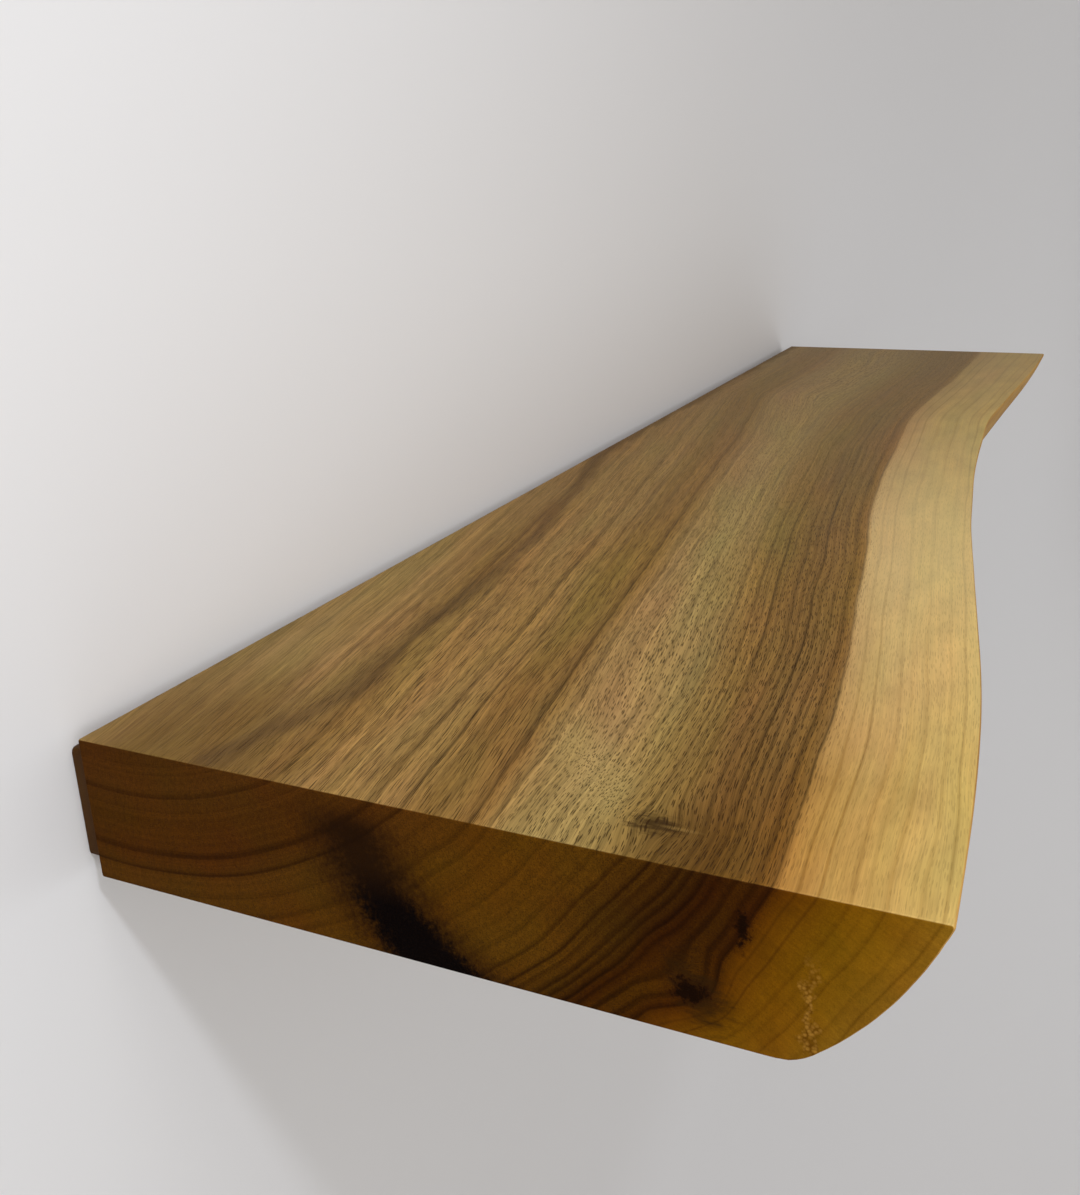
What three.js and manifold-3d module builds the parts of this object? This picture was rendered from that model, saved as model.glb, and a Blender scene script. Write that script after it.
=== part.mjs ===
// Floating wall shelf: a live-edge slab on a hidden steel bracket.
// Millimetres, +Z up. The wall's face is y = 0 and the shelf stands out towards -Y.
// The origin is the centre of the wall plate's back face.
import * as THREE from 'three';
import { mergeVertices } from 'three/addons/utils/BufferGeometryUtils.js';
import Module from 'manifold-3d';

const wasm = await Module();
wasm.setup();

// Slab: sawn ends and back, the tree's own edge kept along the front
const slabLength = 762;
const slabThickness = 50.8;
const slabDepth = 276.4;
const arrisEase = 1;
const barkRadius = 115;
const barkUndercut = 38;
const barkHeel = 6;

// The live edge seen from above, as [share of the length, share of the depth]
const liveEdgeShares = [
  [0, 1], [0.08, 0.974], [0.17, 0.937], [0.29, 0.871], [0.42, 0.798], [0.55, 0.739],
  [0.63, 0.711], [0.7, 0.692], [0.78, 0.691], [0.91, 0.694], [1, 0.687],
];

// How far the live edge is undercut, as [share of the length, share of the undercut]
const undercutShares = [[0, 1], [0.22, 0.9], [0.45, 1.06], [0.7, 0.86], [0.88, 1.04], [1, 0.95]];

// Wall plate: one flat bar, a little shorter than the slab
const plateThickness = 6;
const plateHeight = 40;
const plateEndInset = 2.5;
const plateCorner = 2;

// Support rods, welded to the plate
const rodCount = 4;
const rodSpacing = 203.2;
const rodDiameter = 16;
const rodProjection = 140;
const rodNose = 1.5;
const spigotDiameter = 12;
const weldLeg = 5;
const weldHollowShare = 1 / 3;

// Countersunk wall screws
const screwLength = 70;
const screwHeadDiameter = 12;
const screwShankDiameter = 6;
const screwRootDiameter = 4.4;
const screwRim = 0.6;
const screwShankLength = 24;
const screwPoint = 9;
const screwSocket = 4;
const screwSocketDepth = 2.4;
const screwSocketSides = 6;
const screwStagger = 9;
const bayScrewShares = [1 / 3, 2 / 3];
const endScrewShare = 1 / 2;

// Fits
const seatGap = 0.3;
const boreGap = 0.3;
const boreEndGap = 5;
const drillPointShare = 1 / 2;
const weldClearance = 1;
const screwHoleGap = 0.5;
const overrun = 2;

// Facet counts
const lengthSteps = 56;
const barkSteps = 12;
const cornerSteps = 3;
const roundSegments = 32;
const screwSegments = 20;
const weldSteps = 4;

// Places along the wall
const plateLength = slabLength - 2 * plateEndInset;
const slabBack = -(plateThickness + seatGap);
const rodPlaces = Array.from({ length: rodCount }, (_, i) => (i - (rodCount - 1) / 2) * rodSpacing);
const lastRod = rodPlaces[rodCount - 1];
const endScrew = lastRod + (plateLength / 2 - lastRod) * endScrewShare;
const bayScrews = rodPlaces.slice(1).flatMap((_, bay) =>
  bayScrewShares.map((share) => rodPlaces[bay] + share * rodSpacing));
const screwPlaces = [-endScrew, ...bayScrews, endScrew].map((x, i) => ({
  x,
  z: i % 2 === 0 ? screwStagger : -screwStagger,
}));

// Radii and depths of the fits, each from the piece that it takes
const rodRadius = rodDiameter / 2;
const spigotRadius = spigotDiameter / 2;
const boreRadius = rodRadius + boreGap;
const weldInnerRadius = rodRadius + seatGap;
const mouthRadius = weldInnerRadius + weldLeg + weldClearance;
const boreDepth = rodProjection + boreEndGap;
const screwHeadRadius = screwHeadDiameter / 2;
const screwShankRadius = screwShankDiameter / 2;
const screwHoleRadius = screwShankRadius + screwHoleGap;
const screwHeadFace = -(plateThickness - seatGap);

const walnut = new THREE.MeshStandardMaterial({ color: 0x7a5a30, roughness: 0.55, metalness: 0 });
const bracketPaint = new THREE.MeshStandardMaterial({ color: 0x2e2721, roughness: 0.6, metalness: 0.2 });
const weldPaint = new THREE.MeshStandardMaterial({ color: 0x38302a, roughness: 0.7, metalness: 0.2 });
const zincPlate = new THREE.MeshStandardMaterial({ color: 0xb9b39a, roughness: 0.35, metalness: 1 });

// A closed mesh as a solid for joining and cutting
function toSolid(geometry) {
  const bare = geometry.clone();
  bare.deleteAttribute('normal');
  bare.deleteAttribute('uv');
  const merged = mergeVertices(bare);
  const corners = merged.index.array;
  const kept = [];
  for (let i = 0; i < corners.length; i += 3) {
    const [a, b, c] = corners.slice(i, i + 3);
    if (a !== b && b !== c && c !== a) kept.push(a, b, c);
  }
  return new wasm.Manifold(new wasm.Mesh({
    numProp: 3,
    vertProperties: Float32Array.from(merged.attributes.position.array),
    triVerts: Uint32Array.from(kept),
  }));
}

function toGeometry(solid) {
  const mesh = solid.getMesh();
  const geometry = new THREE.BufferGeometry();
  geometry.setAttribute('position', new THREE.BufferAttribute(mesh.vertProperties, 3));
  geometry.setIndex(new THREE.BufferAttribute(mesh.triVerts, 1));
  geometry.computeVertexNormals();
  return geometry;
}

// A solid of revolution about a line along Y, from [radius, y] points with y rising
function turned(profile, segments) {
  return new THREE.LatheGeometry(profile.map(([r, y]) => new THREE.Vector2(r, y)), segments);
}

// A smooth value along the length, from [share of the length, share of the size] points
function alongLength(shares, size) {
  const curve = new THREE.SplineCurve(shares.map(([at, share]) => new THREE.Vector2(at, share)));
  const points = curve.getPoints(shares.length * lengthSteps);
  return (share) => {
    const next = points.findIndex((p) => p.x >= share);
    if (next <= 0) return points[0].y * size;
    const [a, b] = [points[next - 1], points[next]];
    return THREE.MathUtils.mapLinear(share, a.x, b.x, a.y, b.y) * size;
  };
}

// Corners of an outline with each one eased to a small curve as long as its own ease
function easedOutline(corners) {
  return corners.flatMap(({ point, ease }, i) => {
    if (ease === 0) return [point];
    const before = corners[(i + corners.length - 1) % corners.length].point;
    const after = corners[(i + 1) % corners.length].point;
    const start = point.clone().add(before.clone().sub(point).setLength(ease));
    const end = point.clone().add(after.clone().sub(point).setLength(ease));
    return new THREE.QuadraticBezierCurve(start, point, end).getPoints(cornerSteps);
  });
}

// The slab's section: back, top, and a live edge that follows the round of the trunk.
// The two end sections are drawn in on every side, so that the sawn ends have eased arrises too.
function slabSection(depth, undercut, inset) {
  const half = slabThickness / 2 - inset;
  const top = new THREE.Vector2(inset - depth, half);
  const bottom = new THREE.Vector2(inset - depth + undercut, -half);
  const chord = bottom.clone().sub(top);
  const halfChord = chord.length() / 2;
  const outwards = new THREE.Vector2(chord.y, -chord.x).normalize();
  const flat = Math.sqrt(barkRadius ** 2 - halfChord ** 2);
  const heelShare = 1 - barkHeel / chord.length();
  const bark = Array.from({ length: barkSteps - 1 }, (_, i) => {
    const share = (heelShare * (i + 1)) / barkSteps;
    const along = (2 * share - 1) * halfChord;
    const rise = Math.sqrt(barkRadius ** 2 - along ** 2) - flat;
    return top.clone().addScaledVector(chord, share).addScaledVector(outwards, rise);
  });
  return easedOutline([
    { point: new THREE.Vector2(-inset, -half), ease: arrisEase },
    { point: new THREE.Vector2(-inset, half), ease: arrisEase },
    { point: top, ease: arrisEase },
    ...bark.map((point) => ({ point, ease: 0 })),
    { point: bottom, ease: barkHeel },
  ]);
}

// A closed skin over equal rings of points, with flat ends
function loft(rings) {
  const count = rings[0].length;
  const faces = [];
  for (let r = 0; r < rings.length - 1; r += 1) {
    for (let i = 0; i < count; i += 1) {
      const next = (i + 1) % count;
      const [a, b] = [r * count + i, r * count + next];
      faces.push(a, b, a + count, b, b + count, a + count);
    }
  }
  const flatEnd = rings[0].map((p) => new THREE.Vector2(p.y, p.z));
  const last = (rings.length - 1) * count;
  for (const [a, b, c] of THREE.ShapeUtils.triangulateShape(flatEnd, [])) {
    faces.push(a, c, b, last + a, last + b, last + c);
  }
  const geometry = new THREE.BufferGeometry().setFromPoints(rings.flat());
  geometry.setIndex(faces);
  return geometry;
}

// The bore for one rod: a countersunk mouth for the weld and a drilled bottom
function boreCutter() {
  const mouthDepth = mouthRadius - boreRadius;
  return turned([
    [0, slabBack - boreDepth - drillPointShare * boreRadius],
    [boreRadius, slabBack - boreDepth],
    [boreRadius, slabBack - mouthDepth],
    [mouthRadius, slabBack],
    [mouthRadius + overrun, slabBack + overrun],
    [0, slabBack + overrun],
  ], roundSegments);
}

function liveEdgeSlab() {
  const depthAt = alongLength(liveEdgeShares, slabDepth);
  const undercutAt = alongLength(undercutShares, barkUndercut);
  const easeShare = arrisEase / slabLength;
  const inner = Array.from({ length: lengthSteps - 1 }, (_, i) => (i + 1) / lengthSteps);
  const stations = [
    { share: 0, inset: arrisEase }, { share: easeShare, inset: 0 },
    ...inner.map((share) => ({ share, inset: 0 })),
    { share: 1 - easeShare, inset: 0 }, { share: 1, inset: arrisEase },
  ];
  const rings = stations.map(({ share, inset }) => {
    const x = (share - 1 / 2) * slabLength;
    const section = slabSection(depthAt(share), undercutAt(share), inset);
    return section.map((p) => new THREE.Vector3(x, slabBack + p.x, p.y));
  });
  const cutter = toSolid(boreCutter());
  return rodPlaces.reduce((slab, x) => slab.subtract(cutter.translate([x, 0, 0])), toSolid(loft(rings)));
}

// The hole for one wall screw: clearance for the shank and a countersink that seats the head
function screwHoleCutter() {
  const seat = screwHeadRadius + seatGap;
  return turned([
    [0, -plateThickness - overrun],
    [seat, -plateThickness - overrun],
    [seat, screwHeadFace + screwRim],
    [screwHoleRadius, screwHeadFace + screwRim + seat - screwHoleRadius],
    [screwHoleRadius, overrun],
    [0, overrun],
  ], screwSegments);
}

function spigotHoleCutter() {
  const radius = spigotRadius + seatGap;
  return turned([
    [0, -plateThickness - overrun], [radius, -plateThickness - overrun], [radius, overrun], [0, overrun],
  ], roundSegments);
}

// The flat bar, its outline drawn in the wall's plane
function wallPlate() {
  const [x, z] = [plateLength / 2, plateHeight / 2];
  const corners = [[-x, -z], [x, -z], [x, z], [-x, z]].map(([cx, cz]) => ({
    point: new THREE.Vector2(cx, cz), ease: plateCorner,
  }));
  const bar = new THREE.ExtrudeGeometry(new THREE.Shape(easedOutline(corners)), {
    depth: plateThickness, bevelEnabled: false,
  });
  bar.rotateX(Math.PI / 2);
  const spigotHole = toSolid(spigotHoleCutter());
  const screwHole = toSolid(screwHoleCutter());
  const drilled = rodPlaces.reduce(
    (plate, place) => plate.subtract(spigotHole.translate([place, 0, 0])), toSolid(bar));
  return screwPlaces.reduce(
    (plate, place) => plate.subtract(screwHole.translate([place.x, 0, place.z])), drilled);
}

// One rod: a spigot through the plate, a shoulder on its face and a chamfered nose
function supportRod() {
  const shoulder = -(plateThickness + seatGap);
  const nose = shoulder - rodProjection;
  return turned([
    [0, nose], [rodRadius - rodNose, nose], [rodRadius, nose + rodNose], [rodRadius, shoulder],
    [spigotRadius, shoulder], [spigotRadius, 0], [0, 0],
  ], roundSegments);
}

// The fillet weld round a rod's foot, a little hollow between its two legs
function weldBead() {
  const foot = -(plateThickness + seatGap);
  const hollow = weldHollowShare * weldLeg;
  const face = new THREE.QuadraticBezierCurve(
    new THREE.Vector2(weldInnerRadius, foot - weldLeg),
    new THREE.Vector2(weldInnerRadius + hollow, foot - hollow),
    new THREE.Vector2(weldInnerRadius + weldLeg, foot),
  ).getPoints(weldSteps);
  return turned([...face.map((p) => [p.x, p.y]), [weldInnerRadius, foot], [weldInnerRadius, foot - weldLeg]],
    roundSegments);
}

// One countersunk wood screw with a six-sided drive socket, its thread as a plain round
function wallScrew() {
  const tip = screwHeadFace + screwLength;
  const rootRadius = screwRootDiameter / 2;
  const shankEnd = screwHeadFace + screwShankLength;
  const body = toSolid(turned([
    [0, screwHeadFace],
    [screwHeadRadius, screwHeadFace],
    [screwHeadRadius, screwHeadFace + screwRim],
    [screwShankRadius, screwHeadFace + screwRim + screwHeadRadius - screwShankRadius],
    [screwShankRadius, shankEnd],
    [rootRadius, shankEnd + screwShankRadius - rootRadius],
    [rootRadius, tip - screwPoint],
    [0, tip],
  ], screwSegments));
  const socket = new THREE.CylinderGeometry(
    screwSocket / 2, screwSocket / 2, 2 * screwSocketDepth, screwSocketSides);
  socket.translate(0, screwHeadFace, 0);
  return body.subtract(toSolid(socket));
}

function addPiece(group, name, geometry, material, x = 0, z = 0) {
  const mesh = new THREE.Mesh(geometry, material.clone());
  mesh.name = name;
  mesh.position.set(x, 0, z);
  group.add(mesh);
}

const bracket = new THREE.Group();
addPiece(bracket, 'wall_plate', toGeometry(wallPlate()), bracketPaint);
rodPlaces.forEach((x, i) => addPiece(bracket, `support_rod_${i + 1}`, supportRod(), bracketPaint, x));
rodPlaces.forEach((x, i) => addPiece(bracket, `weld_${i + 1}`, weldBead(), weldPaint, x));
const screw = toGeometry(wallScrew());
screwPlaces.forEach((at, i) => addPiece(bracket, `wall_screw_${i + 1}`, screw, zincPlate, at.x, at.z));

const shelf = new THREE.Group();
addPiece(shelf, 'live_edge_slab', toGeometry(liveEdgeSlab()), walnut);
shelf.add(bracket);

export default shelf;
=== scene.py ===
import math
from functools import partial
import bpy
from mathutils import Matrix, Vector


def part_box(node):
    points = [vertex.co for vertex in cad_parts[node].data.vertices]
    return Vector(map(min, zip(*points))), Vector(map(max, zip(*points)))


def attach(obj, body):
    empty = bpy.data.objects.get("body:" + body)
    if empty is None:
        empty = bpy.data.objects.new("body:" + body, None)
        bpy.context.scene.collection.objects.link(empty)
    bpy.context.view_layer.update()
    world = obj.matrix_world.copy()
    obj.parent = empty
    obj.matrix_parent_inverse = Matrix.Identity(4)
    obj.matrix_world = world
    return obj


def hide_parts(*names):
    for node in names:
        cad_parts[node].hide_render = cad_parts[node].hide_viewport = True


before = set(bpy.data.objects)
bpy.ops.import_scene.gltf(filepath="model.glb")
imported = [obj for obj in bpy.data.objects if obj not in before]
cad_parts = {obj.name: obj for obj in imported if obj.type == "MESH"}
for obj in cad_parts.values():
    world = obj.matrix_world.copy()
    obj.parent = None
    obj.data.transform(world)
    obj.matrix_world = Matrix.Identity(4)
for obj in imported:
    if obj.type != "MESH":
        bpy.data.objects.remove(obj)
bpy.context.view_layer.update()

# Floating wall shelf: a live-edge walnut slab on a hidden steel bracket.
# Blender lengths are metres. Lengths in the materials' patterns are millimetres. In the wood they start at
# the slab's near top back corner: x along the slab, y down from 0 towards the live edge, z down from 0 at
# the top.
from types import SimpleNamespace

import bpy
import numpy as np
from mathutils import Matrix, Vector, noise
from mathutils.bvhtree import BVHTree

MM = 0.001

# Slab, as the frame gives it
slab_low, slab_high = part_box("live_edge_slab")
SLAB_LENGTH = (slab_high.x - slab_low.x) / MM
SLAB_DEPTH = (slab_high.y - slab_low.y) / MM
SLAB_THICKNESS = (slab_high.z - slab_low.z) / MM

# Slab surface
STATION_STEP = 3.2 * MM
SMOOTHING_LENGTH = 11 * MM
ARRIS_ROUND = 1 * MM
END_ROUND = 0.8 * MM
FRONT_ROUND = 1.5 * MM
FRONT_ROUND_WANDER = 0.4 * MM
FRONT_WANDER_LENGTH = 45 * MM
CAD_EASE = 1.2 * MM
HEEL = 7 * MM
HEEL_FIRST_TURN = 0.12
ROUND_STEPS = 5
HEEL_STEPS = 7
BARK_STEPS = 18
FLAT_SHARES = (0.01, 0.03, 0.1, 0.35, 0.65, 0.9, 0.97, 0.99)
SHARP_ANGLE = 35

# The peeled bark side's relief: swells and ridges as (height, length along, length up, slice of the noise),
# how fast it grows from the slab's faces, and pin knots as (share along, share up, radius in mm)
BARK_RELIEF = ((0.55 * MM, 70 * MM, 26 * MM, 3.1), (0.18 * MM, 38 * MM, 2.6 * MM, 7.7))
RELIEF_GROWTH = 8
RELIEF_AT_TOP = 0.25
BARK_KNOTS = ((0.16, 0.45, 5), (0.41, 0.3, 4), (0.63, 0.62, 6), (0.86, 0.4, 4))
KNOT_FLATNESS = 0.9

# Bores in the slab's back
BORE_GAP = 0.3 * MM
BORE_END_GAP = 5 * MM
DRILL_POINT_SHARE = 0.5
MOUTH_GAP = 1 * MM
OVERRUN = 2 * MM
BORE_SEGMENTS = 48

# Support rods
RODS = 4
ROD_SEGMENTS = 72
SPIGOT_RADIUS = 6 * MM
NOSE_CHAMFER = 1.5 * MM
EDGE_BREAK = 0.3 * MM
PLATE_BREAK_ANGLE = 40

# Weld beads. A ripple's curl and unevenness are shares of a ripple, and turns are in radians.
BEAD_SEGMENTS = 216
BEAD_STEPS = 12
BEAD_SHARP_ANGLE = 60
BEAD_GAP = 0.3 * MM
BEAD_RIPPLES = 27
RIPPLE_HEIGHT = 0.32 * MM
RIPPLE_CURL = 0.35
RIPPLE_UNEVENNESS = 0.3
RIPPLE_RISE = 0.5
RIPPLE_DROP = 8
LEG_SHARE = 0.93
LEG_WANDER = 0.06
WANDER_REACH = 2.2
WANDER_STEP = 10
TOE_STEP = 0.12 * MM
HOLLOW_SHARE = 0.22
SLOPE_SHARE = 0.7
LAP_HEIGHT = 0.25 * MM
LAP_TURN = 1.2
LAP_SLANT = 0.3
LAP_WIDTH = 0.16

# Wall screws
SCREWS = 8
SCREW_SEGMENTS = 36
SCREW_SHARP_ANGLE = 32
SCREW_TURN = 0.8
HEAD_BREAK = 0.25 * MM
HEAD_BREAK_IN = 0.15 * MM
HEAD_BREAK_DOWN = 0.075 * MM
HEAD_RIM = 0.6 * MM
HEAD_RIBS = 6
RIB_HEIGHT = 0.25 * MM
RIB_SHARPNESS = 6
CONE_HOLLOW = 0.2 * MM
CONE_SHARES = (0.12, 0.3, 0.5, 0.7, 0.88, 1)
SHANK_RADIUS = 3 * MM
SHANK_LENGTH = 24 * MM
SHANK_END = 0.8 * MM
CREST_RADIUS = 2.95 * MM
ROOT_RADIUS = 2.2 * MM
THREAD_PITCH = 3 * MM
THREAD_SHARES = ((0, 0), (0.3, 0), (0.48, 1), (0.52, 1), (0.7, 0))
FIRST_CREST_SHARE = 0.15
POINT_LENGTH = 9 * MM
POINT_END = 0.35 * MM
SOCKET_RADIUS = 2 * MM
SOCKET_DEPTH = 2.4 * MM
SOCKET_POINT_DEPTH = 2.76 * MM

# Camera at the photograph's place, its heading measured from +Y towards +X
CAMERA_PLACE = (-0.66119, -0.32722, 0.20667)
CAMERA_HEADING = math.radians(61.886)
CAMERA_PITCH = math.radians(-19.547)
CAMERA_ROLL = math.radians(-3.042)
CAMERA_LENS = 40.875

# Stage: a pale wall that runs down into a pale floor in one sweep
WALL_GAP = 0.4 * MM
FLOOR_Z = -1.5
WALL_TOP = 4
STAGE_REACH = 60
OPENING_INSET = 0.6 * MM
FLOOR_DROP = 2 * MM
SWEEP_RADIUS = 0.9
SWEEP_STEPS = 24
NEAR_CORNER = (slab_low.x, slab_high.y, 0)
PAINT_COLOUR = "e6e6e6"
PAINT_ROUGHNESS = 0.85
SKY_COLOUR = "f7f1ed"
SKY_STRENGTH = 0.55

# Lamps as (name, target, way to the lamp, distance, size, power, colour, honeycomb angle)
LAMPS = (
    ("key", NEAR_CORNER, (-0.33, -0.59, 0.74), 1.1, 0.09, 2, "f0f5ff", 140),
    ("overhead", NEAR_CORNER, (-0.15, -0.5, 0.85), 1.05, 0.6, 1.1, "ffffff", 130),
    ("side_fill", NEAR_CORNER, (-0.72, -0.68, 0.12), 1.2, 0.9, 1.85, "ffffff", 110),
    ("right_fill", (1.9, 0, -0.5), (0, -1, 0), 2.4, 1.6, 10.5, "f0f7ff", 180),
    ("rear", (0, 0, 0), (0.15, 0.8, 0.6), 2.4, 1.6, 34, "ffffff", 180),
)

# Growth rings of the trunk, round a centre above the slab
RING_CENTRE = (0, -14, 121)
TRUNK_RADIUS = 288.6
RING_SPAN = 170

# The board's tones from the bark inwards, as (ring depth in mm, colour), on a face along the grain
FACE_TONES = (
    (0, "c8a75f"), (16, "c2a05c"), (30, "bb9758"), (39.3, "ae864a"), (42.6, "82602d"), (48, "846332"),
    (58, "816130"), (68, "856732"), (76, "8a6e3a"), (83, "977c48"), (92, "a2854f"), (103, "9c7d4a"),
    (109, "8a6834"), (120, "836531"), (127, "967641"), (145, "92703e"), (149, "8a6a3a"), (151, "856536"),
    (155, "8a6b3b"), (163, "917544"), (170, "917646"),
)

# The same across the grain, darker partly because the open fibres soak up more oil and partly as painted
# shade on the slab's end faces
END_GRAIN_AND_SHADE_TONES = (
    (0, "805a14"), (12, "76500a"), (24, "6d4705"), (36, "5c3503"), (41, "3f1f02"), (47, "492903"),
    (53, "3b1c01"), (59, "452a05"), (66, "533408"), (80, "593808"), (95, "573506"), (110, "523207"),
    (122, "503009"), (130, "472706"), (142, "472806"), (155, "4a2a09"), (170, "422507"),
)

# Dark ring lines as (ring depth in mm, strength), and how wide each kind is towards the bark and the pith
OUTER_RINGS = ((40.4, 0.75), (44, 0.8), (48.6, 0.9), (52, 0.5), (55, 0.95), (58.4, 0.5), (61, 0.6),
               (64.6, 0.4), (67.5, 0.7), (73, 0.4))
INNER_RINGS = ((79, 0.3), (84, 0.4), (91, 0.3), (98, 0.3), (104, 0.35), (109.5, 0.8), (117, 0.45),
               (124.5, 0.85), (131, 0.9), (151.5, 0.45))
SAP_RINGS = ((4, 0.6), (8.2, 0.8), (15.4, 0.9), (19.5, 0.6), (23.4, 0.9), (30.5, 0.9), (35, 1))
RING_LINES = ((OUTER_RINGS, 0.25, 1.1), (INNER_RINGS, 0.3, 1.3), (SAP_RINGS, 0.3, 0.7))

# Noise patterns: a grain's length along x, y and z in mm, detail and roughness, and for most of them the
# change from noise to value. The rays' first length is a bearing in radians.
PATTERNS = {
    "sway": ((120, 42, 42), 2, 0.45, 0, 1, -3.8, 3.8),
    "line_strength": ((90, 30, 30), 1, 0.5, 0.35, 0.65, 0.7, 1),
    "streak": ((90, 1.5, 1.5), 4, 0.6),
    "hair": ((40, 0.45, 0.45), 3, 0.65, 0.3, 0.7, -0.28, 0.28),
    "cloud": ((110, 22, 22), 2, 0.5),
    "mottle": ((24, 9, 9), 3, 0.5, 0.3, 0.7, -0.12, 0.12),
    "ray": ((0.0028, 7, 1), 2, 0.6, 0.3, 0.7, -0.09, 0.09),
    "smoke": ((45, 9, 9), 3, 0.6, 0.25, 0.75, -3, 3),
    "smoke_width": ((48, 400, 60), 1, 0.5, 0.3, 0.7, 4, 11),
    "knot_fleck": ((2.2, 8, 2.2), 3, 0.65, 0.25, 0.75, -4, 4),
    "pore_wave": ((60, 14, 14), 1, 0.5, 0, 1, -1.2, 1.2),
    "peeled_drift": ((120, 40, 12), 3, 0.5),
    "bark_fleck": ((26, 8, 1.6), 4, 0.65, 0.58, 0.7, 0, 0.5),
    "ragged": ((5, 5, 5), 5, 0.62),
    "grit": ((1.6, 1.6, 1.6), 3, 0.75, 0.3, 0.7, -4, 4),
    "orange_peel": ((1.1, 1.1, 1.1), 2, 0.5),
    "coat_shade": ((28, 28, 28), 3, 0.5),
    "dust": ((0.35, 0.35, 0.35), 1, 0.5, 0.66, 0.72, 0, 0.12),
    "rub": ((0.5, 45, 0.5), 3, 0.6, 0.6, 0.7, 0, 0.55),
    "zinc_film": ((5, 5, 5), 2, 0.5),
    "zinc_grain": ((0.3, 0.3, 0.3), 3, 0.5),
    "scratch": ((3, 0.12, 0.12), 1, 0.5, 0.64, 0.7, 0, 0.3),
}
FINE_RING_WIDTH = 2
CLOUD_REACH = (0.3, 0.27, 0.32)
CLOUD_LOW = (0.85, 0.865, 0.84)

# The lie of the grain
GRAIN_SLOPE = 0.185
GRAIN_SPREAD = 22

# The changes below read (start, end, value at the start, value at the end).
# From the live edge inwards
GRAIN_FOLLOWS_EDGE = (90, 140, 1, 0)

# By ring depth
BELOW_SAP = (39, 41, 0, 1)
IN_HEART = (36, 44, 0.25, 1)
STREAK_WEIGHT = (36, 44, 0.4, 1)
MOTTLE_WEIGHT = (36, 44, 1, 0.25)
NEAR_SAP = (12, 34, 0, 1)
NEAR_HEART = (67, 57, 0, 1)
DEEP_END_LINES = (70, 80, 1, 0.4)
INNER_END_LINES = (119, 124, 0, 0.85)

# Along the board
FIGURE_FADES = (200, 650, 1, 0.4)
NEAR_REACH = (110, 20, 0, 1)
MIDDLE_REACH = (60, 260, 0, 0.4)
MIDDLE_ENDS = (560, 320, 0, 1)
# Painted reflection and shade towards the far end: a grey veil over the face
FAR_SHEEN_REACH = (200, SLAB_LENGTH, 0, 0.6)
PORES_THIN_OUT = (150, 480, 1, 0.4)

# Across the board
PORES_THIN_AT_BACK = (-75, -20, 1, 0.45)

# By how squarely the surface faces along the board, and between the face and the end grain
FACES_ALONG = (0.6, 0.9, 0, 1)
LINE_SHARPNESS = (0, 1, 1, 0.5)
FINE_RING_WEIGHT = (0, 1, 1.1, 0.65)
PORE_STRENGTH = (0, 1, 0.85, 0.5)

# By noise
FINE_RING_TONES = (0.3, 0.7, -0.2, 0.2)
STREAK_TONES = (0.25, 0.75, -0.25, 0.25)
WOOD_SHEEN = (0.2, 0.8, 0.42, 0.56)
COAT_SHEEN = (0.3, 0.7, 0.42, 0.52)
ZINC_SHEEN = (0.3, 0.7, 0.24, 0.4)

# Strength of the sapwood's ring lines, the extra roughness of end grain, and how far a full rub mark
# polishes the coat
SAP_LINE_STRENGTH = 0.72
END_ROUGHNESS = 0.22
RUB_POLISH = 0.25

# A small knot that the near end cuts, leaning back into the slab
KNOT_PLACE = (18, -195, 0)
KNOT_LEAN = (-0.5, -0.444, -1)
KNOT_REACH = 8
KNOT_REACH_BELOW = KNOT_REACH / 3
KNOT_PULL = 0.7
KNOT_STRETCH = (0.8, 1 / 0.85, 1)
KNOT_HEART = (9.5, 1, 0, 0.85)

# Ovals of colour on the face as (centre, radii, share of the radius where it is full, strength, colour).
# The back corner's is painted shade over the near back corner of the board, and the knot's two are round the
# knot.
BACK_CORNER_PAINTED_SHADE = ((0, -42, 0), (95, 46, 40), 0.3, 0.6, "5c3c14")
KNOT_SHADE = ((-10, -11, 0), (34, 20, 34), 0.3, 0.55, "503610")
KNOT_RAY = ((0, -7, 0), (1.4, 9, 1), 0.1, 0.34, "9c7c42")

# A paler ridge inwards from the knot
RIDGE_X = 25
RIDGE_LANE = -182
RIDGE_SLANT = -1.16
RIDGE_STARTS = (-190, -178, 0, 1)
RIDGE_ENDS = (-142, -166, 0, 1)
RIDGE_WIDTH = (26, 3, 0, 0.32)
RIDGE_DIVE_WIDTH = 9
RIDGE_DIVE = 22

# A smoky streak near the back: its y at even steps of x, as shares of a width from the back
STREAK_REACH = 400
STREAK_WIDTH = 80
STREAK_PATH_SHARES = (0.62, 0.71, 0.8, 0.7, 0.62, 0.65, 0.59, 0.53, 0.43, 0.34, 0.28, 0.12, 0)
STREAK_EDGE = (1, 0.1, 0, 0.5)
STREAK_DEPTH = (-20, 0, 0, 1)

# Open pores as (length, width, strength in the outer heartwood, strength further in)
PORE_LAYERS = ((8, 0.7, 0.9, 0.35), (21, 0.55, 0.5, 0.95))
PORE_ZONES = (96, 112)
PORE_SIZES = (0.2, 0.8, 0.5, 1.3)
PORE_EDGE = (0.15, 0.27, 1, 0)

# Marks on the near end. What is drawn only there fades within the stain's depth.
STAIN_DEPTH = 14
STAIN_TOP = (-0.5, -11, 0, 1)
DARK_HEART_UNEVENNESS = (0.3, 0.7, -9, 9)
DARK_HEART_STARTS = (39, 41.5, 0, 1)
DARK_HEART_ENDS = (92, 62, 0, 0.42)
DARK_HEART_RISE = (-34, -16, 0, 1)

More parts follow.
